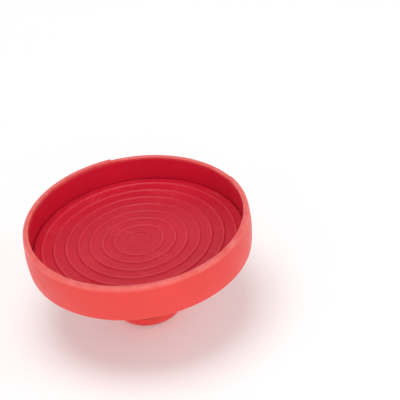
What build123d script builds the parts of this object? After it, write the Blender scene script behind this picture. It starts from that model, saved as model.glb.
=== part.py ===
"""Hand patty press: a round mould cup with a sprung press plate and a palm knob under it.

The press stands on its knob with the mouth of the cup up, as it is filled. Pushing the knob
towards the cup lifts the plate to the rim, and the spring brings it back.
Units are millimetres, +Z is up, and the origin is the centre of the foot ring's lower face.
"""
from build123d import *

import os
from math import cos, radians, sin

os.makedirs("parts", exist_ok=True)

# ---- driving dimensions -----------------------------------------------------------------
CUP_BACK_Z = 40.0        # lowest face of the cup, above the surface the press stands on
CUP_HEIGHT = 21.0        # cup, from its back to its rim
RIM_R = 60.0             # outside of the wall at the rim
BELLY_R = 60.6           # outside of the wall at mid-height
BASE_R = 59.6            # outside of the wall at the back
BORE_R = 57.15           # inside of the wall: the patty is 4.5 inches across
TRAVEL = 15.0            # stroke of the knob and plate

RIM_ROUND = 1.3          # rounding of the rim's outer edge
RIM_BREAK = 0.35         # rounding of the rim's inner edge
BASE_ROUND = 1.0         # rounding of the back's outer edge
VENT_START = 24.0        # low stretch of the rim: first and last bearing, degrees from +X
VENT_END = 98.0
VENT_DEPTH = 0.8

FLOOR_THICK = 1.8        # cup floor between the ribs
RIB_DEPTH = 1.4
RIB_WIDTH = 1.6
RIB_COUNT = 12
RIB_START = 15           # bearing of the first rib, degrees from +X
RIB_BITE = 0.5           # how far each end of a rib runs into the band and the pad
BACK_BAND_R = 54.5       # inside of the flat band around the cup's back
POCKET_CORNER = 1.5      # roundings of the pockets between the ribs
POCKET_LIP = 0.3
AIR_HOLE_R = 1.5
AIR_HOLE_PITCH_R = 42.0
AIR_HOLE_COUNT = 6
PAD_R = 24.0             # thick pad in the middle of the floor, for the housing's screws
PAD_RISE = 1.2           # height of the pad above the floor
PAD_SIDE_GAP = 0.5       # pad to the hollow under the plate, around it and above it
PAD_TOP_GAP = 0.1
CUP_HOLE_R = 9.8         # hole in the pad for the plate's hub

PLATE_GAP = 0.4          # plate's edge to the bore
PLATE_THICK = 3.2
PLATE_EDGE_ROUND = 0.5
RIDGE_HEIGHT = 0.6       # rings on the plate that keep the meat from sticking
RIDGE_WIDTH = 1.9
RIDGE_BITE = 0.05        # how deep a ring's foot runs into the plate
RIDGE_FIRST_R = 13.0
RIDGE_PITCH = 6.5
RIDGE_COUNT = 7
PLATE_HUB_R = 9.4
PLATE_HUB_DROP = 3.8     # hub's lower end, below the middle of the plate

SEAL_HEIGHT = 1.2
SEAL_DEPTH = 1.6
SEAL_RISE = 0.7          # seal groove above the plate's lower face
SEAL_CLEARANCE = 0.07
SEAL_LIP_LOW = 0.35      # flat of the seal's lip, as shares of its height
SEAL_LIP_HIGH = 0.65

PLUG_R = 7.0
PLUG_DEPTH = 1.2
PLUG_ROUND = 0.35

STEM_R = 7.0
STEM_CHAMFER = 0.4
STEM_SOCKET = 2.0        # depth of the stem's end in the plate's hub
INSERT_R = 2.8           # brass inserts for the M4 screws, in the stem's ends
INSERT_LENGTH = 8.0
INSERT_GROOVE = 0.3      # groove around an insert's middle
INSERT_GROOVE_WIDTH = 1.2
BUSH_R = 11.95
BUSH_LENGTH = 8.5
BUSH_CLEARANCE = 0.06
BUSH_CHAMFER = 0.3
O_RING_SECTION = 1.8
O_RING_CLEARANCE = 0.07
GLAND_DROP = 3.6         # O-ring's groove, its lower face below the cup's back
GLAND_GAP = 0.1          # O-ring to its groove

HOUSING_R = 14.5
HOUSING_BORE_R = 12.0
HOUSING_FLANGE_R = 22.0
HOUSING_FLANGE = 1.6
FLANGE_ROOT = 0.6        # rounding where the tube meets its flange
FLANGE_ROUND = 0.5
HOUSING_END_ROUND = 0.6
KEY_WIDTH = 3.0          # keys that stop the knob from turning on the housing
KEY_RISE = 0.85
KEY_START = 0.8          # keys' lower ends, above the housing's
KEY_BITE = 0.5           # how deep the keys and the keyways run into the round wall

HOUSING_SCREW_COUNT = 3
HOUSING_SCREW_PITCH_R = 18.5
HOUSING_SCREW_R = 1.45
HOUSING_SCREW_START = -30    # bearing of the first screw, degrees from +X
HOUSING_SCREW_HEAD_R = 2.8
HOUSING_SCREW_LENGTH = 5.4
HOUSING_RECESS_SPAN = 2.8    # cross recess in a housing screw's head
HOUSING_RECESS_WIDTH = 0.7
HOUSING_RECESS_DEPTH = 0.8
PILOT_GAP = 0.02         # pilot hole around a housing screw, and past its tip
PILOT_END = 0.2

KNOB_R = 19.0
KNOB_FOOT_R = 14.0       # flat under the knob
KNOB_TOP_R = 18.4
KNOB_TOP_ROUND = 1.6
KNOB_BULGE = 0.1         # swell of the knob's side at mid-height
KNOB_LEAN = 0.12         # slope of its side at the top
KNOB_BORE_R = 15.0
KNOB_BORE_ROUND = 0.4
KNOB_BASE_Z = 0.5        # knob's lower face: the foot ring stands proud of it
KNOB_FLOOR_Z = 3.6       # floor under the spring
KNOB_TOP_GAP = 0.4       # knob to housing flange, with the knob pushed in
KEYWAY_DEPTH = 0.75
KEYWAY_SIDE_GAP = 0.25
BOSS_R = 9.0             # boss in the knob that holds the stem
BOSS_TOP_Z = 10.0
STEM_BASE_Z = 6.0

GRIP_LOW_Z = 7.5
GRIP_HIGH_Z = 18.5
GRIP_INNER_R = 17.5
GRIP_PROUD = 0.5
GRIP_ROUND = 0.6
GRIP_GROOVES = 4
GRIP_GROOVE_R = 0.7
GRIP_GROOVE_OUT = 0.2    # centres of the grooves' rounds, outside the band's face

SCREW_R = 2.0            # M4 screws of the plate and the knob
SCREW_HEAD_R = 3.8
SCREW_LENGTH = 12.0
PLATE_HEAD_DROP = 0.1    # plate screw's head below the plug
PAN_HEAD = 2.4
PAN_HEAD_ROUND = 0.9
PAN_HEAD_GAP = 0.4       # knob screw's head to the hole that it sits in
KNOB_WEB = 1.6           # knob left between that head and the stem
RECESS_SPAN = 4.2        # cross recess in a screw head
RECESS_WIDTH = 1.0
RECESS_DEPTH = 1.3
FIT = 0.05               # clearance of pieces that are assembled in a recess
STEM_FIT = 0.01

CAP_R = 10.6
CAP_DEPTH = 1.2
CAP_ROUND = 0.3
FOOT_RING_INNER_R = 11.6
FOOT_RING_OUTER_R = 13.6
FOOT_RING_HEIGHT = 1.5
FOOT_RING_ROUND = 0.3

WIRE_R = 0.6
SPRING_R = 10.2          # centre line of the wire
SPRING_TURNS = 9.0
SPRING_GAP = 0.02        # spring to the washer at each end
WASHER_THICK = 0.6
WASHER_MARGIN = 0.8      # washers' edge past the spring
WASHER_HOLE_GAP = 0.15

# ---- levels worked out from them -----------------------------------------------------------
rim_z = CUP_BACK_Z + CUP_HEIGHT
rib_z = CUP_BACK_Z + RIB_DEPTH
floor_z = rib_z + FLOOR_THICK
pad_z = floor_z + PAD_RISE
plate_top_z = floor_z + PLATE_THICK
plate_r = BORE_R - PLATE_GAP
pad_top_r = PAD_R - PAD_SIDE_GAP
hub_z = pad_z - PLATE_HUB_DROP
stem_top_z = hub_z + STEM_SOCKET
plug_z = plate_top_z - PLUG_DEPTH
plate_screw_z = plug_z - PLATE_HEAD_DROP
seal_z = floor_z + SEAL_RISE
bush_z = CUP_BACK_Z - BUSH_LENGTH
gland_z = CUP_BACK_Z - GLAND_DROP
flange_z = CUP_BACK_Z - HOUSING_FLANGE
knob_top_z = flange_z - KNOB_TOP_GAP - TRAVEL
housing_z = KNOB_FLOOR_Z + TRAVEL + KNOB_TOP_GAP
knob_screw_z = STEM_BASE_Z - KNOB_WEB
lower_washer_z = KNOB_FLOOR_Z + WASHER_THICK
upper_washer_z = bush_z - WASHER_THICK
key_bearings = (0, 120, 240)


def turn(points, mode=Mode.ADD):
    """Turn a closed profile of straight runs, given as (radius, height) points, about the axis."""
    with BuildSketch(Plane.XZ) as profile:
        with BuildLine():
            Polyline(*points, close=True)
        make_face()
    revolve(profile.sketch, axis=Axis.Z, mode=mode)


def turn_ring(inner_r, outer_r, low_z, high_z, mode=Mode.ADD):
    """Turn a ring of rectangular section."""
    turn([(inner_r, low_z), (outer_r, low_z), (outer_r, high_z), (inner_r, high_z)], mode)


def edges_at(part, radius, height):
    """Find a turned piece's circular edges of one radius at one height."""
    circles = part.edges().filter_by(GeomType.CIRCLE)
    return circles.filter_by(lambda e: abs(e.radius - radius) < 0.01
                             and abs(e.arc_center.Z - height) < 0.01)


def cut_cross(height, depth):
    """Cut the cross recess into an M4 screw's head, from a height up, or down if depth is below 0."""
    with BuildSketch(Plane.XY.offset(height)) as recess:
        Rectangle(RECESS_SPAN, RECESS_WIDTH)
        Rectangle(RECESS_WIDTH, RECESS_SPAN)
    extrude(recess.sketch, amount=depth, mode=Mode.SUBTRACT)


# ---- mould cup -----------------------------------------------------------------------------
def upright_plane(bearing):
    """Give the upright plane through the axis whose local X points at a bearing."""
    across = (cos(radians(bearing)), sin(radians(bearing)), 0)
    return Plane(origin=(0, 0, 0), x_dir=across, z_dir=(across[1], -across[0], 0))


def cup_section(plane, top_z):
    """Draw the cup's section on a plane: floor, back and bellied wall, rounded off at top_z."""
    with BuildSketch(plane) as section:
        with BuildLine():
            Polyline((CUP_HOLE_R, CUP_BACK_Z), (PAD_R, CUP_BACK_Z), (PAD_R, rib_z),
                     (BACK_BAND_R, rib_z), (BACK_BAND_R, CUP_BACK_Z), (BASE_R, CUP_BACK_Z))
            ThreePointArc((BASE_R, CUP_BACK_Z), (BELLY_R, CUP_BACK_Z + CUP_HEIGHT / 2),
                          (RIM_R, rim_z))
            Polyline((RIM_R, rim_z), (BORE_R, rim_z), (BORE_R, floor_z), (pad_top_r, floor_z),
                     (pad_top_r, pad_z), (CUP_HOLE_R, pad_z), (CUP_HOLE_R, CUP_BACK_Z))
        make_face()
        if top_z < rim_z:
            with Locations((RIM_R, top_z)):
                Rectangle(RIM_R, rim_z - top_z + 1.0, align=(Align.CENTER, Align.MIN),
                          mode=Mode.SUBTRACT)
        fillet(section.vertices().group_by(Axis.Y)[-1].sort_by(Axis.X)[0], radius=RIM_BREAK)
        fillet(section.vertices().group_by(Axis.Y)[-1].sort_by(Axis.X)[-1], radius=RIM_ROUND)
        fillet(section.vertices().group_by(Axis.Y)[0].sort_by(Axis.X)[-1], radius=BASE_ROUND)
    return section.sketch


with BuildPart() as mould_cup:
    # the low stretch of the rim first, then the rest of the way round
    low_section = cup_section(upright_plane(VENT_START), rim_z - VENT_DEPTH)
    revolve(low_section, axis=Axis.Z, revolution_arc=VENT_END - VENT_START)
    full_section = cup_section(upright_plane(VENT_END), rim_z)
    revolve(full_section, axis=Axis.Z, revolution_arc=360 - VENT_END + VENT_START)
    # radial ribs across the hollow of the back
    with BuildSketch(Plane.XY.offset(CUP_BACK_Z)):
        with PolarLocations((BACK_BAND_R + PAD_R) / 2, RIB_COUNT, start_angle=RIB_START):
            Rectangle(BACK_BAND_R - PAD_R + 2 * RIB_BITE, RIB_WIDTH)
    extrude(amount=RIB_DEPTH)
    # round the pockets between the ribs: their upright corners, then every lip of the back
    upright = mould_cup.edges().filter_by(Axis.Z)
    fillet(upright.filter_by(lambda e: abs(e.length - RIB_DEPTH) < 0.01), radius=POCKET_CORNER)
    back_face = mould_cup.faces().filter_by(Axis.Z).sort_by(Axis.Z)[0]
    fillet([wire.edges() for wire in back_face.inner_wires()], radius=POCKET_LIP)
    # holes that let air and rinsing water behind the plate
    with BuildSketch(Plane.XY.offset(rib_z)):
        with PolarLocations(AIR_HOLE_PITCH_R, AIR_HOLE_COUNT):
            Circle(AIR_HOLE_R)
    extrude(amount=FLOOR_THICK, mode=Mode.SUBTRACT)
    # pilot holes for the housing's screws
    with BuildSketch(Plane.XY.offset(CUP_BACK_Z)):
        with PolarLocations(HOUSING_SCREW_PITCH_R, HOUSING_SCREW_COUNT,
                            start_angle=HOUSING_SCREW_START):
            Circle(HOUSING_SCREW_R + PILOT_GAP)
    extrude(amount=HOUSING_SCREW_LENGTH - HOUSING_FLANGE + PILOT_END, mode=Mode.SUBTRACT)
mould_cup.part.label = "mould_cup"
export_step(mould_cup.part, "parts/mould_cup.step")

# ---- press plate ---------------------------------------------------------------------------
with BuildPart() as press_plate:
    turn([(0, plate_top_z), (plate_r, plate_top_z), (plate_r, floor_z),
          (PAD_R, floor_z), (PAD_R, pad_z + PAD_TOP_GAP), (PLATE_HUB_R, pad_z + PAD_TOP_GAP),
          (PLATE_HUB_R, hub_z), (STEM_R + FIT, hub_z), (STEM_R + FIT, stem_top_z),
          (0, stem_top_z)])
    fillet(edges_at(press_plate, plate_r, plate_top_z), radius=PLATE_EDGE_ROUND)
    # groove for the wiper seal
    turn_ring(plate_r - SEAL_DEPTH, BORE_R, seal_z, seal_z + SEAL_HEIGHT, mode=Mode.SUBTRACT)
    # rings on the pressing face, each a flat dome in section
    with BuildSketch(Plane.XZ):
        for ring in range(RIDGE_COUNT):
            ring_r = RIDGE_FIRST_R + ring * RIDGE_PITCH
            with BuildLine():
                dome = ThreePointArc((ring_r - RIDGE_WIDTH / 2, plate_top_z - RIDGE_BITE),
                                     (ring_r, plate_top_z + RIDGE_HEIGHT),
                                     (ring_r + RIDGE_WIDTH / 2, plate_top_z - RIDGE_BITE))
                Line(dome @ 1, dome @ 0)
            make_face()
    revolve(axis=Axis.Z)
    # recess for the plug, and the countersunk hole under it
    with BuildSketch(Plane.XY.offset(plug_z)):
        Circle(PLUG_R + FIT)
    extrude(amount=PLUG_DEPTH + RIDGE_HEIGHT, mode=Mode.SUBTRACT)
    turn([(0, plug_z), (SCREW_HEAD_R + FIT, plug_z), (SCREW_HEAD_R + FIT, plate_screw_z),
          (SCREW_R + FIT, plate_screw_z - SCREW_HEAD_R + SCREW_R),
          (SCREW_R + FIT, hub_z), (0, hub_z)], mode=Mode.SUBTRACT)
press_plate.part.label = "press_plate"
export_step(press_plate.part, "parts/press_plate.step")

with BuildPart() as plate_seal:
    turn([(plate_r - SEAL_DEPTH + FIT, seal_z + FIT), (plate_r, seal_z + FIT),
          (BORE_R - SEAL_CLEARANCE, seal_z + SEAL_HEIGHT * SEAL_LIP_LOW),
          (BORE_R - SEAL_CLEARANCE, seal_z + SEAL_HEIGHT * SEAL_LIP_HIGH),
          (plate_r, seal_z + SEAL_HEIGHT - FIT),
          (plate_r - SEAL_DEPTH + FIT, seal_z + SEAL_HEIGHT - FIT)])
plate_seal.part.label = "plate_seal"
export_step(plate_seal.part, "parts/plate_seal.step")

with BuildPart() as screw_plug:
    with BuildSketch(Plane.XY.offset(plug_z)):
        Circle(PLUG_R)
    extrude(amount=PLUG_DEPTH)
    fillet(screw_plug.edges().group_by(Axis.Z)[-1], radius=PLUG_ROUND)
screw_plug.part.label = "screw_plug"
export_step(screw_plug.part, "parts/screw_plug.step")

with BuildPart() as plate_screw:
    turn([(0, plate_screw_z), (SCREW_HEAD_R, plate_screw_z),
          (SCREW_R, plate_screw_z - SCREW_HEAD_R + SCREW_R),
          (SCREW_R, plate_screw_z - SCREW_LENGTH), (0, plate_screw_z - SCREW_LENGTH)])
    cut_cross(plate_screw_z, -RECESS_DEPTH)
plate_screw.part.label = "plate_screw"
export_step(plate_screw.part, "parts/plate_screw.step")

# ---- stem, with a threaded insert in each end --------------------------------------------------
def blind_hole(plane):
    """Sink a stem end's hole along a plane's Z: wide for the insert, then for the screw's tip."""
    for radius, depth in ((INSERT_R, INSERT_LENGTH), (SCREW_R, SCREW_LENGTH)):
        with BuildSketch(plane) as mouth:
            Circle(radius + FIT)
        extrude(mouth.sketch, amount=depth, mode=Mode.SUBTRACT)


with BuildPart() as plunger_stem:
    with BuildSketch(Plane.XY.offset(STEM_BASE_Z)):
        Circle(STEM_R - STEM_FIT)
    extrude(amount=stem_top_z - STEM_BASE_Z)
    chamfer(plunger_stem.edges().filter_by(GeomType.CIRCLE), length=STEM_CHAMFER)
    blind_hole(Plane.XY.offset(STEM_BASE_Z))
    blind_hole(Plane(origin=(0, 0, stem_top_z), z_dir=(0, 0, -1)))
plunger_stem.part.label = "plunger_stem"
export_step(plunger_stem.part, "parts/plunger_stem.step")


def turn_insert(low_z):
    """Turn a threaded insert: a sleeve with a groove around its middle that the nylon fills."""
    middle_z = low_z + INSERT_LENGTH / 2
    groove_low_z = middle_z - INSERT_GROOVE_WIDTH / 2
    groove_high_z = middle_z + INSERT_GROOVE_WIDTH / 2
    groove_r = INSERT_R - INSERT_GROOVE
    turn([(SCREW_R + FIT, low_z), (INSERT_R, low_z), (INSERT_R, groove_low_z),
          (groove_r, groove_low_z), (groove_r, groove_high_z), (INSERT_R, groove_high_z),
          (INSERT_R, low_z + INSERT_LENGTH), (SCREW_R + FIT, low_z + INSERT_LENGTH)])


with BuildPart() as upper_insert:
    turn_insert(stem_top_z - INSERT_LENGTH)
upper_insert.part.label = "upper_insert"
export_step(upper_insert.part, "parts/upper_insert.step")

with BuildPart() as lower_insert:
    turn_insert(STEM_BASE_Z)
lower_insert.part.label = "lower_insert"
export_step(lower_insert.part, "parts/lower_insert.step")

# ---- spring housing on the cup's back ----------------------------------------------------------
with BuildPart() as spring_housing:
    turn([(HOUSING_BORE_R, housing_z), (HOUSING_R, housing_z), (HOUSING_R, flange_z),
          (HOUSING_FLANGE_R, flange_z), (HOUSING_FLANGE_R, CUP_BACK_Z),
          (HOUSING_BORE_R, CUP_BACK_Z)])
    fillet(edges_at(spring_housing, HOUSING_R, housing_z), radius=HOUSING_END_ROUND)
    fillet(edges_at(spring_housing, HOUSING_R, flange_z), radius=FLANGE_ROOT)
    fillet(edges_at(spring_housing, HOUSING_FLANGE_R, flange_z), radius=FLANGE_ROUND)
    # keys that run in the knob's keyways
    for bearing in key_bearings:
        with BuildSketch(Plane.XY.offset(housing_z + KEY_START).rotated((0, 0, bearing))):
            with Locations((HOUSING_R - KEY_BITE, 0)):
                Rectangle(KEY_RISE + KEY_BITE, KEY_WIDTH, align=(Align.MIN, Align.CENTER))
        extrude(amount=flange_z - housing_z - KEY_START)
    # countersunk holes, drilled upwards, so their bearings count the other way round
    with Locations(Plane.XY.offset(flange_z).rotated((180, 0, 0))):
        with PolarLocations(HOUSING_SCREW_PITCH_R, HOUSING_SCREW_COUNT,
                            start_angle=-HOUSING_SCREW_START):
            CounterSinkHole(radius=HOUSING_SCREW_R + FIT,
                            counter_sink_radius=HOUSING_SCREW_HEAD_R + FIT,
                            depth=HOUSING_FLANGE, counter_sink_angle=90)
spring_housing.part.label = "spring_housing"
export_step(spring_housing.part, "parts/spring_housing.step")

with BuildPart() as housing_screws:
    with Locations(Plane.XY.offset(flange_z)):
        with PolarLocations(HOUSING_SCREW_PITCH_R, HOUSING_SCREW_COUNT,
                            start_angle=HOUSING_SCREW_START):
            Cylinder(HOUSING_SCREW_R, HOUSING_SCREW_LENGTH,
                     align=(Align.CENTER, Align.CENTER, Align.MIN))
            Cone(HOUSING_SCREW_HEAD_R, HOUSING_SCREW_R, HOUSING_SCREW_HEAD_R - HOUSING_SCREW_R,
                 align=(Align.CENTER, Align.CENTER, Align.MIN))
    with BuildSketch(Plane.XY.offset(flange_z)):
        with PolarLocations(HOUSING_SCREW_PITCH_R, HOUSING_SCREW_COUNT,
                            start_angle=HOUSING_SCREW_START):
            Rectangle(HOUSING_RECESS_SPAN, HOUSING_RECESS_WIDTH)
            Rectangle(HOUSING_RECESS_WIDTH, HOUSING_RECESS_SPAN)
    extrude(amount=HOUSING_RECESS_DEPTH, mode=Mode.SUBTRACT)
housing_screws.part.label = "housing_screws"
export_step(housing_screws.part, "parts/housing_screws.step")

# ---- guide bush with the stem's seal ---------------------------------------------------------
with BuildPart() as guide_bush:
    turn_ring(STEM_R + BUSH_CLEARANCE, BUSH_R, bush_z, CUP_BACK_Z)
    chamfer(guide_bush.edges().filter_by(GeomType.CIRCLE), length=BUSH_CHAMFER)
    turn_ring(STEM_R, STEM_R + O_RING_CLEARANCE + O_RING_SECTION + GLAND_GAP,
              gland_z, gland_z + O_RING_SECTION + 2 * GLAND_GAP, mode=Mode.SUBTRACT)
guide_bush.part.label = "guide_bush"
export_step(guide_bush.part, "parts/guide_bush.step")

with BuildPart() as stem_o_ring:
    with Locations((0, 0, gland_z + GLAND_GAP + O_RING_SECTION / 2)):
        Torus(STEM_R + O_RING_CLEARANCE + O_RING_SECTION / 2, O_RING_SECTION / 2)
stem_o_ring.part.label = "stem_o_ring"
export_step(stem_o_ring.part, "parts/stem_o_ring.step")

# ---- return spring between its washers, at its length with the knob out ------------------------
spring_low_z = lower_washer_z + WIRE_R + SPRING_GAP
spring_high_z = upper_washer_z - WIRE_R - SPRING_GAP
spring_pitch = (spring_high_z - spring_low_z) / SPRING_TURNS
with BuildPart() as return_spring:
    with BuildLine():
        coil = Helix(spring_pitch, spring_high_z - spring_low_z, SPRING_R,
                     center=(0, 0, spring_low_z))
    with BuildSketch(Plane(origin=coil @ 0, z_dir=coil % 0)):
        Circle(WIRE_R)
    sweep(path=coil, is_frenet=True)
return_spring.part.label = "return_spring"
export_step(return_spring.part, "parts/return_spring.step")

washer_outer_r = SPRING_R + WIRE_R + WASHER_MARGIN
washer_inner_r = BOSS_R + WASHER_HOLE_GAP
with BuildPart() as lower_washer:
    turn_ring(washer_inner_r, washer_outer_r, KNOB_FLOOR_Z, lower_washer_z)
lower_washer.part.label = "lower_washer"
export_step(lower_washer.part, "parts/lower_washer.step")

with BuildPart() as upper_washer:
    turn_ring(washer_inner_r, washer_outer_r, upper_washer_z, bush_z)
upper_washer.part.label = "upper_washer"
export_step(upper_washer.part, "parts/upper_washer.step")

# ---- knob ------------------------------------------------------------------------------------
knob_round = KNOB_R - KNOB_FOOT_R
grip_r = KNOB_R + GRIP_PROUD
with BuildPart() as knob_body:
    with BuildSketch(Plane.XZ):
        with BuildLine():
            Line((0, KNOB_BASE_Z), (KNOB_FOOT_R, KNOB_BASE_Z))
            RadiusArc((KNOB_FOOT_R, KNOB_BASE_Z), (KNOB_R, KNOB_BASE_Z + knob_round),
                      -knob_round)
            Spline((KNOB_R, KNOB_BASE_Z + knob_round),
                   (KNOB_R + KNOB_BULGE, (KNOB_BASE_Z + knob_round + knob_top_z) / 2),
                   (KNOB_TOP_R, knob_top_z), tangents=[(0, 1), (-KNOB_LEAN, 1)])
            Polyline((KNOB_TOP_R, knob_top_z), (KNOB_BORE_R, knob_top_z),
                     (KNOB_BORE_R, KNOB_FLOOR_Z), (BOSS_R, KNOB_FLOOR_Z), (BOSS_R, BOSS_TOP_Z),
                     (STEM_R + FIT, BOSS_TOP_Z), (STEM_R + FIT, STEM_BASE_Z), (0, STEM_BASE_Z),
                     (0, KNOB_BASE_Z))
        make_face()
    revolve(axis=Axis.Z)
    fillet(edges_at(knob_body, KNOB_TOP_R, knob_top_z), radius=KNOB_TOP_ROUND)
    fillet(edges_at(knob_body, KNOB_BORE_R, knob_top_z), radius=KNOB_BORE_ROUND)
    # keyways down the skirt
    for bearing in key_bearings:
        with BuildSketch(Plane.XY.offset(KNOB_FLOOR_Z).rotated((0, 0, bearing))):
            with Locations((KNOB_BORE_R - KEY_BITE, 0)):
                Rectangle(KEYWAY_DEPTH + KEY_BITE, KEY_WIDTH + 2 * KEYWAY_SIDE_GAP,
                          align=(Align.MIN, Align.CENTER))
        extrude(amount=knob_top_z - KNOB_FLOOR_Z, mode=Mode.SUBTRACT)
    # recess for the soft band
    turn_ring(GRIP_INNER_R, grip_r, GRIP_LOW_Z, GRIP_HIGH_Z, mode=Mode.SUBTRACT)
    # foot: recess for the cap, hole for the screw, groove for the foot ring
    head_hole_r = SCREW_HEAD_R + PAN_HEAD_GAP
    cap_z = KNOB_BASE_Z + CAP_DEPTH
    turn([(0, 0), (CAP_R + FIT, 0), (CAP_R + FIT, cap_z), (head_hole_r, cap_z),
          (head_hole_r, knob_screw_z), (SCREW_R + FIT, knob_screw_z),
          (SCREW_R + FIT, STEM_BASE_Z), (0, STEM_BASE_Z)], mode=Mode.SUBTRACT)
    turn_ring(FOOT_RING_INNER_R - FIT, FOOT_RING_OUTER_R + FIT, 0, FOOT_RING_HEIGHT + FIT,
              mode=Mode.SUBTRACT)
knob_body.part.label = "knob_body"
export_step(knob_body.part, "parts/knob_body.step")

groove_pitch = (GRIP_HIGH_Z - GRIP_LOW_Z) / (GRIP_GROOVES + 1)
with BuildPart() as grip_band:
    turn_ring(GRIP_INNER_R + FIT, grip_r, GRIP_LOW_Z + FIT, GRIP_HIGH_Z - FIT)
    fillet(edges_at(grip_band, grip_r, GRIP_LOW_Z + FIT), radius=GRIP_ROUND)
    fillet(edges_at(grip_band, grip_r, GRIP_HIGH_Z - FIT), radius=GRIP_ROUND)
    with BuildSketch(Plane.XZ):
        for groove in range(GRIP_GROOVES):
            groove_z = GRIP_LOW_Z + (groove + 1) * groove_pitch
            with Locations((grip_r + GRIP_GROOVE_OUT, groove_z)):
                Circle(GRIP_GROOVE_R)
    revolve(axis=Axis.Z, mode=Mode.SUBTRACT)
grip_band.part.label = "grip_band"
export_step(grip_band.part, "parts/grip_band.step")

with BuildPart() as knob_screw:
    head_z = knob_screw_z - PAN_HEAD
    turn([(0, head_z), (SCREW_HEAD_R, head_z), (SCREW_HEAD_R, knob_screw_z),
          (SCREW_R, knob_screw_z), (SCREW_R, knob_screw_z + SCREW_LENGTH),
          (0, knob_screw_z + SCREW_LENGTH)])
    fillet(edges_at(knob_screw, SCREW_HEAD_R, head_z), radius=PAN_HEAD_ROUND)
    cut_cross(head_z, RECESS_DEPTH)
knob_screw.part.label = "knob_screw"
export_step(knob_screw.part, "parts/knob_screw.step")

with BuildPart() as knob_cap:
    with BuildSketch(Plane.XY.offset(KNOB_BASE_Z)):
        Circle(CAP_R)
    extrude(amount=CAP_DEPTH)
    fillet(knob_cap.edges().group_by(Axis.Z)[0], radius=CAP_ROUND)
knob_cap.part.label = "knob_cap"
export_step(knob_cap.part, "parts/knob_cap.step")

with BuildPart() as foot_ring:
    turn_ring(FOOT_RING_INNER_R, FOOT_RING_OUTER_R, 0, FOOT_RING_HEIGHT)
    fillet(foot_ring.edges().group_by(Axis.Z)[0], radius=FOOT_RING_ROUND)
foot_ring.part.label = "foot_ring"
export_step(foot_ring.part, "parts/foot_ring.step")
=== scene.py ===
"""Looks of the hand patty press: finishes, fine detail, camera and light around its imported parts.

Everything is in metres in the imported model's own frame: +Z up, the cup's axis on X = Y = 0.
"""
import math

import bpy
from mathutils import Matrix, Vector


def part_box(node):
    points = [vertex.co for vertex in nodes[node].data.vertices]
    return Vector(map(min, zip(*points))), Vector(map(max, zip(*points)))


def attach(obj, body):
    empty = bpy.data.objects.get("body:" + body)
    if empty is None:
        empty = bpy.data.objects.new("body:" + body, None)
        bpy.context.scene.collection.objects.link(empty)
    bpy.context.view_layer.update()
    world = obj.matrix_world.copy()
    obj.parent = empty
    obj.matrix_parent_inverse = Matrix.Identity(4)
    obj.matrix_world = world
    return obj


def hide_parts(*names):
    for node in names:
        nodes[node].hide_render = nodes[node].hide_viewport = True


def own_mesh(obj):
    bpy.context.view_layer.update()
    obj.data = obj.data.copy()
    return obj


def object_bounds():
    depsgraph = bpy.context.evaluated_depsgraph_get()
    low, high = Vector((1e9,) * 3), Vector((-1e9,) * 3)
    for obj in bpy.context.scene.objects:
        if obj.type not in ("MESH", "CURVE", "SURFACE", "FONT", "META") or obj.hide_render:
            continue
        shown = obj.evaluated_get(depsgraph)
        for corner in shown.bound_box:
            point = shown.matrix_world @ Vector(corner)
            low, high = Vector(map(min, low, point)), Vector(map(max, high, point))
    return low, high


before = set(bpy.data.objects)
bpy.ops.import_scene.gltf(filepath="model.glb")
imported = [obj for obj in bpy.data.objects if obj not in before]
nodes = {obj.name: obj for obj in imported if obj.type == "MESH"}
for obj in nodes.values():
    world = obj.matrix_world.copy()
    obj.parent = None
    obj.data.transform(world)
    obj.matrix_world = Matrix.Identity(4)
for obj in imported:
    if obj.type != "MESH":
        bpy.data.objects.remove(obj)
cad_low, cad_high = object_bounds()

# ---- places on the object ----------------------------------------------------------------------
cup_low, cup_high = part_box("mould_cup")
cup_back_z = cup_low.z
rim_z = cup_high.z
bore_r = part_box("plate_seal")[1].x      # the seal reaches the bore
plate_top_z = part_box("press_plate")[1].z
band_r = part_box("grip_band")[1].x
mouth = Vector((0, 0, cad_high.z))

# ---- material building blocks ------------------------------------------------------------------
NOISE_MIDDLE = 0.5
NOISE_SPAN = (0.3, 0.7)          # most of a noise's values lie in here
SCRATCH_STRETCH = 22.0           # a scratch's length over its width
SCRATCH_EDGE = 0.03              # how much the noise rises across a scratch's edge
SCRATCH_PATCHES = 70             # patches with scratches in them, per metre
SCRATCH_PATCH_TURN = 40          # degrees from the scratches
SCRATCH_PATCH_SPAN = (0.5, 0.62)


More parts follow.
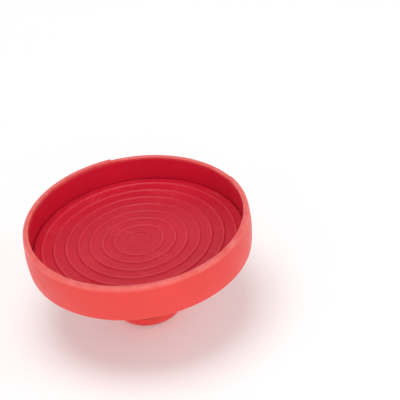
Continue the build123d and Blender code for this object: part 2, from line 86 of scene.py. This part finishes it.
class Finish:
    """A node material under construction, with short calls for the nodes that finishes share.

    Noises, cells and scratches come in features per metre. Depths are in metres. The plain
    colour and roughness are what a viewer without nodes shows.
    """

    def __init__(self, name, colour, roughness):
        self.material = bpy.data.materials.new(name)
        self.material.use_nodes = True
        self.material.diffuse_color = (*colour, 1)
        self.tree = self.material.node_tree
        self.shader = self.tree.nodes["Principled BSDF"]
        self.set(Base_Color=(*colour, 1), Roughness=roughness)
        self.place = self.tree.nodes.new("ShaderNodeTexCoord").outputs["Object"]

    def set(self, **sockets):
        """Set the shader's own sockets, named with _ for spaces."""
        for socket, value in sockets.items():
            self.shader.inputs[socket.replace("_", " ")].default_value = value

    def wear(self, **sockets):
        """Link node outputs to the shader's sockets, named with _ for spaces."""
        for socket, output in sockets.items():
            self.link(output, self.shader.inputs[socket.replace("_", " ")])

    def let_light_in(self, weight, red, green, blue):
        """Scatter light under the surface, as far as the three distances for its colours."""
        self.set(Subsurface_Weight=weight, Subsurface_Radius=(red, green, blue),
                 Subsurface_Scale=1.0)

    def link(self, output, socket):
        self.tree.links.new(output, socket)

    def mapped(self, stretch=(1, 1, 1), turn=0):
        """The place on the piece, turned about Z by some degrees and stretched along the axes."""
        mapping = self.tree.nodes.new("ShaderNodeMapping")
        mapping.vector_type = "TEXTURE"
        mapping.inputs["Rotation"].default_value = (0, 0, math.radians(turn))
        mapping.inputs["Scale"].default_value = stretch
        self.link(self.place, mapping.inputs["Vector"])
        return mapping.outputs["Vector"]

    def noise(self, per_metre, detail=2.0, place=None):
        node = self.tree.nodes.new("ShaderNodeTexNoise")
        node.inputs["Scale"].default_value = per_metre
        node.inputs["Detail"].default_value = detail
        self.link(place or self.place, node.inputs["Vector"])
        return node.outputs["Fac"]

    def along(self, value, per_metre, detail=2.0):
        """Noise that changes along one value alone, as rings, bands or turning marks do."""
        node = self.tree.nodes.new("ShaderNodeTexNoise")
        node.noise_dimensions = "1D"
        node.inputs["Scale"].default_value = per_metre
        node.inputs["Detail"].default_value = detail
        self.link(value, node.inputs["W"])
        return node.outputs["Fac"]

    def cells(self, per_metre):
        """Rounded cells: the pebbles of a spark-eroded mould."""
        node = self.tree.nodes.new("ShaderNodeTexVoronoi")
        node.feature = "SMOOTH_F1"
        node.inputs["Scale"].default_value = per_metre
        self.link(self.place, node.inputs["Vector"])
        return node.outputs["Distance"]

    def math(self, operation, a, b=0.0):
        node = self.tree.nodes.new("ShaderNodeMath")
        node.operation = operation
        for socket, value in zip(node.inputs, (a, b)):
            if isinstance(value, (int, float)):
                socket.default_value = value
            else:
                self.link(value, socket)
        return node.outputs["Value"]

    def times(self, a, b):
        return self.math("MULTIPLY", a, b)

    def part(self, value, share):
        return self.math("MULTIPLY", value, share)

    def either(self, a, b):
        """The larger of two values."""
        return self.math("MAXIMUM", a, b)

    def total(self, first, *others):
        for other in others:
            first = self.math("ADD", first, other)
        return first

    def ramp(self, value, between, to=(0.0, 1.0)):
        """Map a value linearly from one pair of ends to another, held at the ends."""
        node = self.tree.nodes.new("ShaderNodeMapRange")
        node.clamp = True
        node.inputs["From Min"].default_value, node.inputs["From Max"].default_value = between
        node.inputs["To Min"].default_value, node.inputs["To Max"].default_value = to
        self.link(value, node.inputs["Value"])
        return node.outputs["Result"]

    def mix(self, share, first, second):
        """Mix two colours, each a colour value or a node's output."""
        node = self.tree.nodes.new("ShaderNodeMix")
        node.data_type = "RGBA"
        self.link(share, node.inputs["Factor"])
        colour_sockets = [socket for socket in node.inputs if socket.type == "RGBA"]
        for socket, colour in zip(colour_sockets, (first, second)):
            if isinstance(colour, tuple):
                socket.default_value = (*colour, 1)
            else:
                self.link(colour, socket)
        return next(socket for socket in node.outputs if socket.type == "RGBA")

    def clouds(self, per_metre, shade, colour, detail=3.0):
        """Soft clouds of one colour in another."""
        return self.mix(self.ramp(self.noise(per_metre, detail), NOISE_SPAN), shade, colour)

    def axes(self):
        """The place's X, Y and Z."""
        split = self.tree.nodes.new("ShaderNodeSeparateXYZ")
        self.link(self.place, split.inputs["Vector"])
        return split.outputs["X"], split.outputs["Y"], split.outputs["Z"]

    def radius(self):
        """Distance from the cup's axis."""
        x, y, _ = self.axes()
        return self.math("SQRT", self.total(self.times(x, x), self.times(y, y)))

    def height(self):
        return self.axes()[2]

    def scratches(self, per_metre, turn, rarity):
        """Long thin scratches in one direction, from 0 off them to 1 on them."""
        lines = self.noise(per_metre, detail=0.0, place=self.mapped((SCRATCH_STRETCH, 1, 1), turn))
        patches = self.noise(SCRATCH_PATCHES, detail=1.0,
                             place=self.mapped(turn=turn + SCRATCH_PATCH_TURN))
        edge = NOISE_MIDDLE + rarity
        return self.times(self.ramp(lines, (edge, edge + SCRATCH_EDGE)),
                          self.ramp(patches, SCRATCH_PATCH_SPAN))

    def bump(self, height, depth, under=None):
        """Bump of a depth; under is another bump's output below it."""
        node = self.tree.nodes.new("ShaderNodeBump")
        node.inputs["Distance"].default_value = depth
        self.link(height, node.inputs["Height"])
        if under is not None:
            self.link(under, node.inputs["Normal"])
        return node.outputs["Normal"]


# ---- moulded plastics --------------------------------------------------------------------------
CORAL = (0.775, 0.049, 0.040)
CORAL_SHADE = (0.73, 0.040, 0.035)
# pale coral: rub on the foot, and on the rim rub and painted highlight together
CORAL_PALE = (0.84, 0.20, 0.18)
# crimson: the colour of the plate and plug, and down the cup's bore a painted shade
CRIMSON = (0.66, 0.008, 0.034)
CRIMSON_SHADE = (0.59, 0.006, 0.028)
CRIMSON_PALE = (0.74, 0.07, 0.085)
PLASTIC_IOR = 1.49
SATIN_SHINE = 0.42               # specular level of the outer mouldings
DULLED_SHINE = 0.36              # of the plate and its plug, dulled by washing
CUP_GRAIN = 0.00002              # depth of the mould's pebbles
PLUG_GRAIN = 0.00001
KNOB_GRAIN = 0.000008
SINK_DEPTH = 0.00012             # sink marks over thick places
SCUFF_DEPTH = 0.000012
SMUDGE_SPAN = (0.35, 0.7)        # of the noise that smudges come from
CUP_ROUGHNESS = 0.40
HOUSING_ROUGHNESS = 0.42
KNOB_ROUGHNESS = 0.32
PLUG_ROUGHNESS = 0.46
PLATE_ROUGHNESS = (0.40, 0.54)   # between its smudges and on them
BORE_SHADE_EDGE = (0.0001, 0.0006)     # past the bore: the crimson painted shade gives way to coral
POCKET_SHADE_EDGE = (0.0025, 0.003)    # above the back: the painted bore shade stops, and the pockets under the floor stay coral
RIM_RUB_AND_HIGHLIGHT = (0.0026, 0.0005)       # below the rim: its band of rub and painted highlight starts and is full
BACK_RUB = 0.0006                # above the back, the same
PLATE_MARK_DEPTH = 0.000015
CREST_DEPTH = 0.0004             # top of the plate's rings that meat and paper polish


def flow(finish, colour, shade):
    """Faint streaks and clouds of colour, as the melt leaves them."""
    return finish.clouds(28, shade, colour)


def add_plastic(finish, colour, roughness, grain_depth, shine):
    """Give a finish the surface that the moulded plastics share: grain, sink marks and smudges."""
    smudge = finish.ramp(finish.noise(90, detail=4.0), SMUDGE_SPAN, to=(-0.05, 0.06))
    speckle = finish.ramp(finish.noise(2600), NOISE_SPAN, to=(-0.03, 0.03))
    scuffs = finish.either(finish.scratches(1500, turn=25, rarity=0.16),
                           finish.scratches(1300, turn=100, rarity=0.17))
    pebbles = finish.bump(finish.cells(1900), grain_depth)
    sinks = finish.bump(finish.noise(55, detail=1.0), SINK_DEPTH, under=pebbles)
    finish.wear(Base_Color=colour,
                Roughness=finish.total(smudge, speckle, finish.part(scuffs, share=0.08),
                                       roughness),
                Normal=finish.bump(scuffs, -SCUFF_DEPTH, under=sinks))
    finish.set(IOR=PLASTIC_IOR, Specular_IOR_Level=shine)
    finish.let_light_in(0.06, red=0.003, green=0.0006, blue=0.0005)


def plain_plastic(name, colour, shade, roughness, grain_depth, shine=SATIN_SHINE):
    finish = Finish(name, colour, roughness)
    add_plastic(finish, flow(finish, colour, shade), roughness, grain_depth, shine)
    return finish.material


def cup_plastic():
    """The mould: coral outside, with painted shade in deeper crimson down the bore, and a paler
    band on the rim, partly rub and partly painted highlight, and on the rubbed foot.
    """
    finish = Finish("cup_plastic", CORAL, CUP_ROUGHNESS)
    # painted shade: the bore is painted deeper crimson than the coral outside, as shade inside the
    # cup
    bore_painted_shade = finish.ramp(finish.radius(), [bore_r + past for past in BORE_SHADE_EDGE], to=(1.0, 0.0))
    above_floor = finish.ramp(finish.height(), [cup_back_z + above for above in POCKET_SHADE_EDGE])
    colour = finish.mix(finish.times(bore_painted_shade, above_floor), flow(finish, CORAL, CORAL_SHADE),
                        flow(finish, CRIMSON, CRIMSON_SHADE))
    on_rim = finish.ramp(finish.height(), [rim_z - below for below in RIM_RUB_AND_HIGHLIGHT])
    on_back = finish.ramp(finish.height(), (cup_back_z + BACK_RUB, cup_back_z), to=(0.0, 0.35))
    patches = finish.ramp(finish.noise(160, detail=5.0), NOISE_SPAN, to=(0.3, 0.75))
    # painted highlight: the rim's pale band is partly this and partly rub; the foot's band is rub
    rub_and_highlight = finish.times(finish.either(on_rim, on_back), patches)
    add_plastic(finish, finish.mix(rub_and_highlight, colour, CORAL_PALE), CUP_ROUGHNESS, CUP_GRAIN,
                SATIN_SHINE)
    return finish.material


def plate_plastic():
    """The plate: crimson, polished on its rings by meat and paper, scratched round by washing."""
    finish = Finish("plate_plastic", CRIMSON, PLUG_ROUGHNESS)
    crests = finish.ramp(finish.height(), (plate_top_z - CREST_DEPTH, plate_top_z))
    rings = finish.ramp(finish.along(finish.radius(), 2400, detail=3.0), (0.60, 0.68))
    swirls = finish.times(rings, finish.ramp(finish.noise(60), (0.42, 0.6)))
    cuts = finish.either(finish.scratches(900, turn=-35, rarity=0.15),
                         finish.scratches(1100, turn=62, rarity=0.16))
    marks = finish.either(finish.part(swirls, share=0.5), cuts)
    pale = finish.either(finish.part(crests, share=0.22), finish.part(marks, share=0.35))
    smudge = finish.ramp(finish.noise(70, detail=4.0), SMUDGE_SPAN, to=PLATE_ROUGHNESS)
    grain = finish.bump(finish.cells(1700), CUP_GRAIN)
    finish.wear(Base_Color=finish.mix(pale, flow(finish, CRIMSON, CRIMSON_SHADE), CRIMSON_PALE),
                Roughness=finish.total(smudge, finish.part(crests, share=-0.1),
                                       finish.part(marks, share=0.08)),
                Normal=finish.bump(marks, -PLATE_MARK_DEPTH, under=grain))
    finish.set(IOR=PLASTIC_IOR, Specular_IOR_Level=DULLED_SHINE)
    finish.let_light_in(0.05, red=0.002, green=0.0004, blue=0.0004)
    return finish.material


# ---- rubbers, nylon and silicone ---------------------------------------------------------------
BAND_RED = (0.30, 0.012, 0.018)
BAND_LIGHT = (0.34, 0.014, 0.021)
BAND_SHADE = (0.26, 0.010, 0.015)
# painted shade: the darker red down the band's grooves
BAND_GROOVE_SHADE = (0.15, 0.006, 0.010)
BAND_DUST = (0.42, 0.10, 0.10)
BAND_GRAIN = 0.00006
GROOVE_SHADE_EDGE = (0.0006, 0.0001)   # below the band's face: the painted shade in the grooves ends there
FOOT_BLACK = (0.028, 0.026, 0.026)
FOOT_DUST = (0.16, 0.15, 0.14)
FOOT_GRAIN = 0.00003
RUBBER_IOR = 1.5
NYLON = (0.80, 0.77, 0.70)
NYLON_LIGHT = (0.83, 0.80, 0.74)
NYLON_SHADE = (0.74, 0.70, 0.61)
NYLON_IOR = 1.53
NYLON_MARK_DEPTH = 0.00001
SILICONE = (0.74, 0.71, 0.66)
SILICONE_LIGHT = (0.75, 0.72, 0.67)
SILICONE_LINT = (0.45, 0.38, 0.34)
SILICONE_IOR = 1.41
SILICONE_GRAIN = 0.00002


def band_rubber():
    """The knob's soft band: matte, finely pebbled, with painted shade down its grooves, and dusty
    on them.
    """
    finish = Finish("band_rubber", BAND_RED, 0.7)
    # painted shade: the grooves are painted darker
    groove_shade = finish.ramp(finish.radius(), [band_r - below for below in GROOVE_SHADE_EDGE],
                         to=(1.0, 0.0))
    dust = finish.part(finish.ramp(finish.noise(300, detail=6.0), (0.52, 0.75)), share=0.35)
    clean = finish.mix(groove_shade, finish.clouds(60, BAND_SHADE, BAND_LIGHT), BAND_GROOVE_SHADE)
    finish.wear(Base_Color=finish.mix(dust, clean, BAND_DUST),
                Roughness=finish.ramp(finish.noise(500, detail=3.0), NOISE_SPAN, to=(0.6, 0.8)),
                Normal=finish.bump(finish.cells(1500), BAND_GRAIN))
    finish.set(Sheen_Weight=0.12, Sheen_Roughness=0.5, IOR=RUBBER_IOR)
    return finish.material


def foot_rubber():
    """Matte black moulded rubber with lint and dust on it."""
    finish = Finish("foot_rubber", FOOT_BLACK, 0.74)
    dust = finish.part(finish.ramp(finish.noise(420, detail=6.0), (0.5, 0.78)), share=0.4)
    finish.wear(Base_Color=finish.mix(dust, FOOT_BLACK, FOOT_DUST),
                Roughness=finish.ramp(finish.noise(700, detail=3.0), NOISE_SPAN, to=(0.66, 0.82)),
                Normal=finish.bump(finish.cells(2200), FOOT_GRAIN))
    finish.set(Sheen_Weight=0.08, IOR=RUBBER_IOR)
    return finish.material


def nylon():
    """Machined nylon: off-white, a little translucent, with turning marks round it."""
    finish = Finish("nylon", NYLON, 0.42)
    marks = finish.along(finish.height(), 5200, detail=3.0)
    finish.wear(Base_Color=finish.clouds(120, NYLON_SHADE, NYLON_LIGHT),
                Roughness=finish.ramp(marks, NOISE_SPAN, to=(0.34, 0.5)),
                Normal=finish.bump(marks, NYLON_MARK_DEPTH))
    finish.set(IOR=NYLON_IOR)
    finish.let_light_in(0.2, red=0.003, green=0.0025, blue=0.002)
    return finish.material


def silicone():
    """The wiper seal: milky silicone, satin, with specks of lint."""
    finish = Finish("silicone", SILICONE, 0.5)
    lint = finish.part(finish.ramp(finish.noise(900, detail=4.0), (0.6, 0.75)), share=0.35)
    finish.wear(Base_Color=finish.mix(lint, SILICONE_LIGHT, SILICONE_LINT),
                Roughness=finish.ramp(finish.noise(300, detail=3.0), NOISE_SPAN, to=(0.42, 0.58)),
                Normal=finish.bump(finish.noise(1600), SILICONE_GRAIN))
    finish.set(IOR=SILICONE_IOR)
    finish.let_light_in(0.25, red=0.003, green=0.0028, blue=0.0025)
    return finish.material


# ---- metals ------------------------------------------------------------------------------------
PLATED_STEEL = (0.63, 0.63, 0.65)
PLATED_TARNISH = (0.47, 0.46, 0.45)
DRAWN_STEEL = (0.60, 0.60, 0.62)
DRAWN_TARNISH = (0.42, 0.41, 0.41)
BRASS = (0.78, 0.56, 0.26)
BRASS_TARNISH = (0.55, 0.36, 0.16)
METAL_MARK_DEPTH = 0.000008
METAL_PIT_DEPTH = 0.00001
METAL_MARK_SPREAD = 0.07         # how much the marks change the roughness, either way


def metal(name, colour, tarnish, roughness, marks_over):
    """Bright metal with drawing or turning marks that change over the radius or the height,
    fine pits and faint clouds of tarnish."""
    finish = Finish(name, colour, roughness)
    place = finish.height() if marks_over == "height" else finish.radius()
    marks = finish.along(place, 6000, detail=3.0)
    cloud = finish.part(finish.ramp(finish.noise(260, detail=4.0), (0.4, 0.7)), share=0.6)
    pits = finish.ramp(finish.noise(3200), (0.62, 0.72))
    streaks = finish.ramp(marks, NOISE_SPAN,
                          to=(roughness - METAL_MARK_SPREAD, roughness + METAL_MARK_SPREAD))
    finish.wear(Base_Color=finish.mix(cloud, colour, tarnish),
                Roughness=finish.total(streaks, finish.part(pits, share=0.15)),
                Normal=finish.bump(pits, -METAL_PIT_DEPTH,
                                   under=finish.bump(marks, METAL_MARK_DEPTH)))
    finish.set(Metallic=1.0)
    return finish.material


# ---- finishes on the CAD pieces ----------------------------------------------------------------
def dress(material, *names):
    for name in names:
        slots = nodes[name].data.materials
        slots.clear()
        slots.append(material)


plated_steel = metal("plated_steel", PLATED_STEEL, PLATED_TARNISH, 0.24, "radius")
drawn_steel = metal("drawn_steel", DRAWN_STEEL, DRAWN_TARNISH, 0.28, "radius")
dress(cup_plastic(), "mould_cup")
dress(plain_plastic("housing_plastic", CORAL, CORAL_SHADE, HOUSING_ROUGHNESS, CUP_GRAIN),
      "spring_housing")
dress(plate_plastic(), "press_plate")
dress(plain_plastic("plug_plastic", CRIMSON, CRIMSON_SHADE, PLUG_ROUGHNESS, PLUG_GRAIN,
                    DULLED_SHINE), "screw_plug")
dress(plain_plastic("knob_plastic", CORAL, CORAL_SHADE, KNOB_ROUGHNESS, KNOB_GRAIN),
      "knob_body", "knob_cap")
dress(band_rubber(), "grip_band")
dress(foot_rubber(), "foot_ring", "stem_o_ring")
dress(silicone(), "plate_seal")
dress(nylon(), "plunger_stem", "guide_bush")
dress(plated_steel, "lower_washer", "upper_washer")
dress(metal("turned_brass", BRASS, BRASS_TARNISH, 0.26, "height"), "upper_insert", "lower_insert")


# ---- meshes ------------------------------------------------------------------------------------
def add_mesh(name, points, faces, material, sharp_above=180):
    """Make a smooth-shaded mesh object, with edges left sharp above an angle in degrees."""
    mesh = bpy.data.meshes.new(name)
    mesh.from_pydata(points, [], faces)
    mesh.materials.append(material)
    for face in mesh.polygons:
        face.use_smooth = True
    mesh.set_sharp_from_angle(angle=math.radians(sharp_above))
    piece = bpy.data.objects.new(name, mesh)
    bpy.context.scene.collection.objects.link(piece)
    return piece


def joined_rings(first, last, sides):
    """Faces between rings of points that follow one another, from point first to point last."""
    faces = []
    for start in range(first, last - sides, sides):
        for side in range(sides):
            beside = (side + 1) % sides
            faces.append((start + side, start + sides + side,
                          start + sides + beside, start + beside))
    return faces


def held(value):
    """A value held between 0 and 1."""
    return min(max(value, 0.0), 1.0)


# ---- screws: rolled threads, cross recesses ----------------------------------------------------
SCREW_SIDES = 64
FACE_RINGS = 24          # across a screw's head
SLOT_FACE_HALF = 0.7     # recess: half a slot's width at the face, in slot widths
SLOT_FLANK = 0.3         # width of a slot's sloping flank, in slot widths
WING_SLOPE = 0.25        # length of a slot's sloping end, in spans
ROWS_PER_PITCH = 10
THREAD_DEPTH = 0.55      # in pitches, as are the lengths below
THREAD_FLANKS = 1.4      # steepness of the thread's flanks
THREAD_CREST = 0.2       # how much of their rise the flat crest takes
PLAIN_LENGTH = 0.6       # no thread this far under the head
FADE_LENGTH = 1.0        # it comes in over this
POINT_LENGTH = 0.8       # bevel at the tip
POINT_DEPTH = 0.9        # of the bevel, in thread depths
THREAD_EDGE = 32         # degrees: sharper edges than this stay sharp
HEAD_LIP = 0.00003       # upright lip of a countersunk head
PAN_ROUND = 0.0009
PAN_ROUND_STEPS = 6
PAN_HEAD = 0.0024
M4_R = 0.002
M4_PITCH = 0.0007
M4_RECESS = (0.0042, 0.001, 0.0016)      # span, slot width, depth at the middle
HOUSING_SCREW_R = 0.00145
HOUSING_SCREW_PITCH = 0.0012
HOUSING_HEAD_R = 0.0028
HOUSING_RECESS = (0.003, 0.0007, 0.0011)
HOUSING_SCREW_COUNT = 3
HOUSING_SCREW_START = -30        # bearing of the first, degrees from +X


def recess_depth(x, y, span, width, depth):
    """How deep the tapered cross recess is at a point of a screw's head."""
    deepest = 0.0
    for along, across in ((abs(x), abs(y)), (abs(y), abs(x))):
        flank = (SLOT_FACE_HALF * width - across) / (SLOT_FLANK * width)
        wing = (span / 2 - along) / (WING_SLOPE * span)
        deepest = max(deepest, depth * held(min(flank, wing)))
    return deepest


def thread_radius(outer_r, pitch, along, bearing, length):
    """Radius of the thread at a distance under the head and a bearing, fading out at both ends."""
    phase = (along / pitch - bearing / (2 * math.pi)) % 1.0
    root = held(abs(2 * phase - 1) * THREAD_FLANKS - THREAD_CREST)
    fade = held((along / pitch - PLAIN_LENGTH) / FADE_LENGTH)
    point = held(((along - length) / pitch + POINT_LENGTH) / POINT_LENGTH)
    return outer_r - THREAD_DEPTH * pitch * max(root * fade, point * POINT_DEPTH)


def screw_shape(head, shank_r, length, pitch, recess):
    """Points and faces of a screw, its head's face at Z = 0 and its shank below; head is a list
    of (radius, height) down its side, and length goes from its face to the tip."""
    bearings = [2 * math.pi * side / SCREW_SIDES for side in range(SCREW_SIDES)]
    rows = []
    for ring in range(1, FACE_RINGS + 1):
        radius = head[0][0] * ring / FACE_RINGS
        rows.append([(radius, -recess_depth(radius * math.cos(b), radius * math.sin(b), *recess))
                     for b in bearings])
    rows += [[place] * SCREW_SIDES for place in head[1:]]
    under_head = head[-1][1]
    shank = length + under_head
    row_count = round(shank / pitch * ROWS_PER_PITCH)
    for row in range(1, row_count + 1):
        along = shank * row / row_count
        rows.append([(thread_radius(shank_r, pitch, along, b, shank), under_head - along)
                     for b in bearings])
    points = [(radius * math.cos(b), radius * math.sin(b), height)
              for row in rows for (radius, height), b in zip(row, bearings)]
    faces = joined_rings(0, len(points), SCREW_SIDES)
    middle, tip, last = len(points), len(points) + 1, len(points) - SCREW_SIDES
    points += [(0, 0, -recess[2]), (0, 0, -length)]
    for side in range(SCREW_SIDES):
        beside = (side + 1) % SCREW_SIDES
        faces += [(middle, side, beside), (last + side, tip, last + beside)]
    return points, faces


def pan_head(radius, shank_r):
    """Side of a pan head: a rounded edge, an upright side and a flat underside."""
    arc = [math.pi / 2 * step / PAN_ROUND_STEPS for step in range(PAN_ROUND_STEPS + 1)]
    side = [(radius - PAN_ROUND * (1 - math.sin(a)), -PAN_ROUND * (1 - math.cos(a))) for a in arc]
    return side + [(radius, -PAN_HEAD), (shank_r, -PAN_HEAD)]


def countersunk_head(radius, shank_r):
    """Side of a countersunk head: a thin upright lip over a 90 degree cone."""
    return [(radius, 0), (radius, -HEAD_LIP), (shank_r, -HEAD_LIP - radius + shank_r)]


def add_screws(name, node, body, shape, places, head_up):
    """Screws of one shape at several places, standing in for a CAD node."""
    way = 1 if head_up else -1
    points, faces = [], []
    for place in places:
        first = len(points)
        points += [(place[0] + x, place[1] + way * y, place[2] + way * z) for x, y, z in shape[0]]
        faces += [tuple(first + corner for corner in face) for face in shape[1]]
    screws = add_mesh(name, points, faces, plated_steel, THREAD_EDGE)
    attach(screws, body)
    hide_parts(node)


def add_plate_screw():
    low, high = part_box("plate_screw")
    shape = screw_shape(countersunk_head(high.x, M4_R), M4_R, high.z - low.z, M4_PITCH, M4_RECESS)
    add_screws("plate_screw_threaded", "plate_screw", "plunger", shape, [(0, 0, high.z)],
               head_up=True)


def add_knob_screw():
    low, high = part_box("knob_screw")
    shape = screw_shape(pan_head(high.x, M4_R), M4_R, high.z - low.z, M4_PITCH, M4_RECESS)
    add_screws("knob_screw_threaded", "knob_screw", "plunger", shape, [(0, 0, low.z)],
               head_up=False)


def add_housing_screws():
    low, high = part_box("housing_screws")
    shape = screw_shape(countersunk_head(HOUSING_HEAD_R, HOUSING_SCREW_R), HOUSING_SCREW_R,
                        high.z - low.z, HOUSING_SCREW_PITCH, HOUSING_RECESS)
    circle_r = high.y - HOUSING_HEAD_R      # one screw stands on +Y
    places = []
    for screw in range(HOUSING_SCREW_COUNT):
        bearing = math.radians(HOUSING_SCREW_START + 360 * screw / HOUSING_SCREW_COUNT)
        places.append((circle_r * math.cos(bearing), circle_r * math.sin(bearing), low.z))
    add_screws("housing_screws_threaded", "housing_screws", "mould", shape, places, head_up=False)


add_plate_screw()
add_knob_screw()
add_housing_screws()

# ---- return spring: closed, ground ends --------------------------------------------------------
WIRE = 0.0012
WIRE_SIDES = 14
SPRING_TURNS = 9
STEPS_PER_TURN = 48
CLOSED_TURNS = 1.0       # at each end, coil on coil
EASE_TURNS = 0.3         # over which the pitch opens
GROUND_SHARE = 0.2       # wire's centre above the ground face at its tip, in wire diameters
GROUND_GAP = 0.00001     # ground face to the washer


def coil_heights(low_z, high_z):
    """Heights of the wire's centre: closed coils at the ends, an even open pitch between them."""
    open_shares = []
    for step in range(SPRING_TURNS * STEPS_PER_TURN):
        turns = (step + 0.5) / STEPS_PER_TURN
        from_end = min(turns, SPRING_TURNS - turns) - CLOSED_TURNS
        open_shares.append(held(from_end / EASE_TURNS + 0.5))
    climb = high_z - low_z - 2 * GROUND_SHARE * WIRE
    extra = (climb - WIRE * SPRING_TURNS) / sum(open_shares)
    heights = [low_z + GROUND_SHARE * WIRE]
    for share in open_shares:
        heights.append(heights[-1] + WIRE / STEPS_PER_TURN + share * extra)
    return heights


def add_spring():
    """The return spring as wound wire, its ends ground flat against the two washers."""
    low_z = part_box("lower_washer")[1].z
    high_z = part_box("upper_washer")[0].z
    coil_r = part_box("return_spring")[1].x - WIRE / 2
    points = []
    for step, height in enumerate(coil_heights(low_z, high_z)):
        bearing = 2 * math.pi * step / STEPS_PER_TURN
        for side in range(WIRE_SIDES):
            around = 2 * math.pi * side / WIRE_SIDES
            radius = coil_r + WIRE / 2 * math.cos(around)
            z = height + WIRE / 2 * math.sin(around)
            points.append((radius * math.cos(bearing), radius * math.sin(bearing),
                           min(max(z, low_z + GROUND_GAP), high_z - GROUND_GAP)))
    faces = joined_rings(0, len(points), WIRE_SIDES)
    faces.append(tuple(range(WIRE_SIDES)))
    faces.append(tuple(reversed(range(len(points) - WIRE_SIDES, len(points)))))
    spring = add_mesh("wound_spring", points, faces, drawn_steel)
    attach(spring, "mould")
    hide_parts("return_spring")
    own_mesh(spring)


add_spring()

# ---- stage -------------------------------------------------------------------------------------
COVE_FLAT_R = 1.9        # the floor is flat this far out, then sweeps up into the backdrop
COVE_SWEEP_R = 1.0
COVE_SWEEP_STEPS = 24
COVE_TOP_Z = 2.6
COVE_SIDES = 128
FLOOR_GAP = 0.0001       # floor to the foot
PAPER = (0.95, 0.95, 0.95)
PAPER_LIGHT = (0.955, 0.955, 0.955)
PAPER_SHADE = (0.945, 0.945, 0.945)
FLOOR_GLOW = 0.10        # emission near the press, and far out
BACKDROP_GLOW = 0.48
GLOW_RADII = (0.6, 1.7)  # between which it grows
GLOW_HEIGHTS = (1.1, 1.7)        # between which it fades


def paper():
    """The floor and backdrop: white seamless paper, lit through from behind low down all round."""
    finish = Finish("seamless_paper", PAPER, 0.7)
    around = finish.ramp(finish.radius(), GLOW_RADII, to=(FLOOR_GLOW, BACKDROP_GLOW))
    upwards = finish.ramp(finish.height(), GLOW_HEIGHTS, to=(1.0, 0.0))
    finish.wear(Base_Color=finish.clouds(5, PAPER_SHADE, PAPER_LIGHT, detail=2.0),
                Roughness=finish.ramp(finish.noise(700, detail=3.0), NOISE_SPAN, to=(0.65, 0.75)),
                Emission_Strength=finish.times(around, upwards))
    finish.set(Emission_Color=(1, 1, 1, 1))
    return finish.material


def add_cove():
    """A round seamless backdrop: the floor, a quarter-round sweep and a wall, in one surface."""
    profile = [(COVE_FLAT_R, 0.0)]
    for step in range(1, COVE_SWEEP_STEPS + 1):
        swept = math.pi / 2 * step / COVE_SWEEP_STEPS
        profile.append((COVE_FLAT_R + COVE_SWEEP_R * math.sin(swept),
                        COVE_SWEEP_R * (1 - math.cos(swept))))
    profile.append((COVE_FLAT_R + COVE_SWEEP_R, COVE_TOP_Z))
    points = []
    for radius, height in profile:
        for side in range(COVE_SIDES):
            bearing = 2 * math.pi * side / COVE_SIDES
            points.append((radius * math.cos(bearing), radius * math.sin(bearing), height))
    faces = [tuple(range(COVE_SIDES))] + joined_rings(0, len(points), COVE_SIDES)
    cove = add_mesh("cove", points, faces, paper())
    cove.location.z = cad_low.z - FLOOR_GAP


# ---- light -------------------------------------------------------------------------------------
WORLD_STRENGTH = 0.22


def add_softbox(name, place, size, power):
    """A round area light that faces the press's mouth, its size across and its power in watts."""
    data = bpy.data.lights.new(name, "AREA")
    data.shape = "DISK"
    data.size = size
    data.energy = power
    lamp = bpy.data.objects.new(name, data)
    lamp.location = place
    lamp.visible_camera = False
    lamp.rotation_euler = (mouth - Vector(place)).to_track_quat("-Z", "Y").to_euler()
    bpy.context.scene.collection.objects.link(lamp)


def add_world():
    """Even white light from all round."""
    world = bpy.data.worlds.new("studio")
    world.use_nodes = True
    background = world.node_tree.nodes["Background"]
    background.inputs["Color"].default_value = (1, 1, 1, 1)
    background.inputs["Strength"].default_value = WORLD_STRENGTH
    bpy.context.scene.world = world


# ---- camera ------------------------------------------------------------------------------------
CAMERA_LENS = 180.0              # mm, as is the sensor's width
SENSOR_WIDTH = 36.0
CLIP_START = 0.05
CLIP_END = 20.0
CAMERA_DISTANCE = 1.0546         # from the middle of the cup's mouth
CAMERA_ELEVATION = math.radians(35.68)
CAMERA_ROLL = math.radians(9.19)     # the near side of the mouth dips to the left
AIM_RIGHT = 0.03235              # the view's middle lies right of and above the mouth,
AIM_UP = 0.00905                 # as slopes from the line to the mouth


def add_camera():
    """A long lens that looks down into the mouth, tilted as a hand holds the press."""
    data = bpy.data.cameras.new("camera")
    data.lens = CAMERA_LENS
    data.sensor_width = SENSOR_WIDTH
    data.clip_start = CLIP_START
    data.clip_end = CLIP_END
    camera = bpy.data.objects.new("camera", data)
    bpy.context.scene.collection.objects.link(camera)
    toward = Vector((0, math.cos(CAMERA_ELEVATION), -math.sin(CAMERA_ELEVATION)))
    upright = Vector((0, math.sin(CAMERA_ELEVATION), math.cos(CAMERA_ELEVATION)))
    level = Vector((1, 0, 0))
    right = math.cos(CAMERA_ROLL) * level - math.sin(CAMERA_ROLL) * upright
    up = math.sin(CAMERA_ROLL) * level + math.cos(CAMERA_ROLL) * upright
    look = (toward + AIM_RIGHT * right + AIM_UP * up).normalized()
    right = look.cross(up).normalized()
    up = right.cross(look)
    turn = Matrix((right, up, -look)).transposed()
    camera.matrix_world = Matrix.Translation(mouth - toward * CAMERA_DISTANCE) @ turn.to_4x4()
    bpy.context.scene.camera = camera


add_cove()
add_camera()
add_world()
add_softbox("overhead", place=(-0.1, 0.0, 1.5), size=1.0, power=10.0)
add_softbox("front_left", place=(-0.8, -1.1, 0.42), size=0.75, power=1.2)
add_softbox("front", place=(0.2, -1.35, 0.42), size=0.75, power=2.2)
add_softbox("right", place=(1.15, -0.35, 0.9), size=0.8, power=2.3)
bpy.context.scene.view_settings.view_transform = "Standard"
